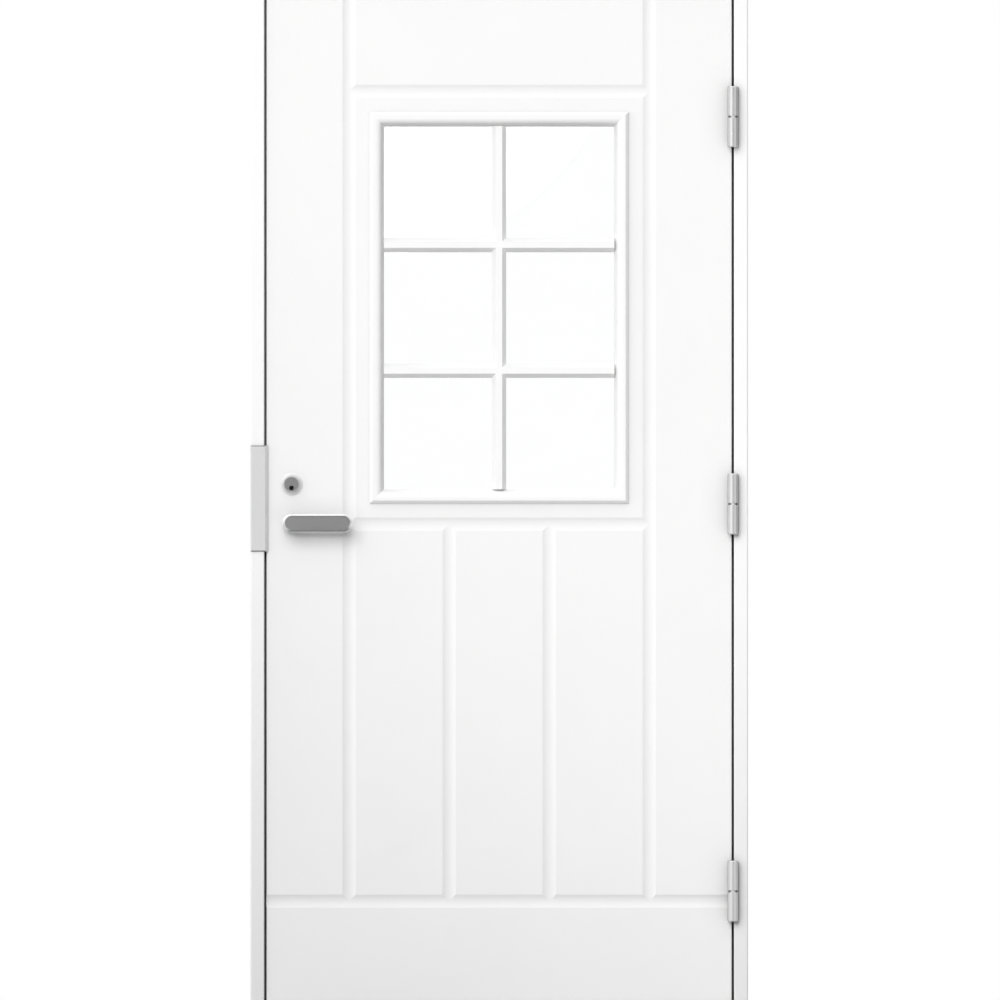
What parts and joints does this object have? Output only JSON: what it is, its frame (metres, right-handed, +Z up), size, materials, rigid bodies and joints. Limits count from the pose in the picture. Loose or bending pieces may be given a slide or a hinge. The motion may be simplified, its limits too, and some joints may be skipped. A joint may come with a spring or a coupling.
{
  "type": "panelled front door",
  "caption": "White panelled front door in its frame, with a grooved leaf, a barred glazed light, lift-off hinges, lever handles and a mortise lock.",
  "frame": {"origin": "middle of the frame's foot, at mid-width and mid-depth of the frame", "axes": "+X towards the hinge side, +Y from outside to inside, +Z up"},
  "size_m": [0.99, 0.174, 2.09],
  "materials": {
    "white_paint": "white paint, satin",
    "oak": "oiled hardwood",
    "cover_aluminium": "anodised",
    "dark_seal": "matt",
    "hinge_steel": "polished",
    "dark_plastic": "matt",
    "screw_steel": "bright",
    "plate_steel": "satin",
    "pine": "planed",
    "foam": "cellular",
    "clear_glass": "clear",
    "lever_metal": "satin",
    "cylinder_metal": "satin",
    "lock_steel": "bright"
  },
  "bodies": {
    "frame": {"hinge_jamb": "white_paint", "lock_jamb": "white_paint", "frame_head": "white_paint", "threshold": "oak", "threshold_cover": "cover_aluminium", "frame_seal": "dark_seal", "threshold_seal": "dark_seal", "strike_plate": "plate_steel", "strike_screws": "screw_steel", "top_hinge_frame_half": "hinge_steel", "middle_hinge_frame_half": "hinge_steel", "bottom_hinge_frame_half": "hinge_steel", "hinge_pins": "hinge_steel", "hinge_washers": "dark_plastic", "hinge_frame_screws": "screw_steel"},
    "leaf": {"outer_skin": "white_paint", "inner_skin": "white_paint", "lock_stile": "pine", "hinge_stile": "pine", "top_rail": "pine", "bottom_rail": "pine", "lining_sides": "pine", "lining_rails": "pine", "insulation_core": "foam", "outer_pane": "clear_glass", "middle_pane": "clear_glass", "inner_pane": "clear_glass", "outer_spacer": "cover_aluminium", "inner_spacer": "cover_aluminium", "setting_blocks": "dark_seal", "outer_glazing_frame": "white_paint", "inner_glazing_frame": "white_paint", "outer_glazing_seal": "dark_seal", "inner_glazing_seal": "dark_seal", "outer_bars": "white_paint", "inner_bars": "white_paint", "lock_case": "plate_steel", "lock_cover": "plate_steel", "lock_forend": "plate_steel", "edge_screws": "screw_steel", "guard_plate": "plate_steel", "outer_rose": "lever_metal", "inner_rose": "lever_metal", "cylinder_body": "cylinder_metal", "cylinder_ring": "lever_metal", "thumb_rose": "lever_metal", "top_hinge_leaf_half": "hinge_steel", "middle_hinge_leaf_half": "hinge_steel", "bottom_hinge_leaf_half": "hinge_steel", "hinge_leaf_screws": "screw_steel"},
    "handle": {"outer_lever": "lever_metal", "inner_lever": "lever_metal", "spindle": "lock_steel", "follower": "lock_steel"},
    "latch": {"latch_bolt": "lock_steel"},
    "dead_bolt": {"dead_bolt": "lock_steel"},
    "plug": {"key_plug": "cylinder_metal", "key_shutter": "dark_plastic"},
    "turn": {"thumb_turn": "lever_metal", "bolt_cam": "lock_steel"}
  },
  "joints": [
    {"name": "leaf_swing", "type": "hinge", "parent": "frame", "child": "leaf", "pos_m": [0.465, -0.06875, 1.038], "axis": [0, 0, 1], "range_deg": [0, 170]},
    {"name": "handle_turn", "type": "hinge", "parent": "leaf", "child": "handle", "pos_m": [-0.413, -0.0215, 1], "axis": [0, 1, 0], "range_deg": [0, 45], "stiffness_Nm_per_rad": 2, "springref_deg": -34.38},
    {"name": "latch_slide", "type": "slide", "parent": "leaf", "child": "latch", "axis": [1, 0, 0], "range_m": [0, 0.0121]},
    {"name": "thumb_turn", "type": "hinge", "parent": "leaf", "child": "turn", "pos_m": [-0.413, -0.0215, 1.07], "axis": [0, -1, 0], "range_deg": [0, 90.2]},
    {"name": "dead_bolt_slide", "type": "slide", "parent": "leaf", "child": "dead_bolt", "axis": [-1, 0, 0], "range_m": [0, 0.02]},
    {"name": "key_turn", "type": "hinge", "parent": "leaf", "child": "plug", "pos_m": [-0.413, -0.05, 1.07], "axis": [0, 1, 0], "range_deg": [-90, 90]}
  ],
  "couplings": [
    {"joint": "latch_slide", "follows": "handle_turn", "m_per_rad": 0.015279},
    {"joint": "thumb_turn", "follows": "dead_bolt_slide", "rad_per_m": 78.54}
  ]
}
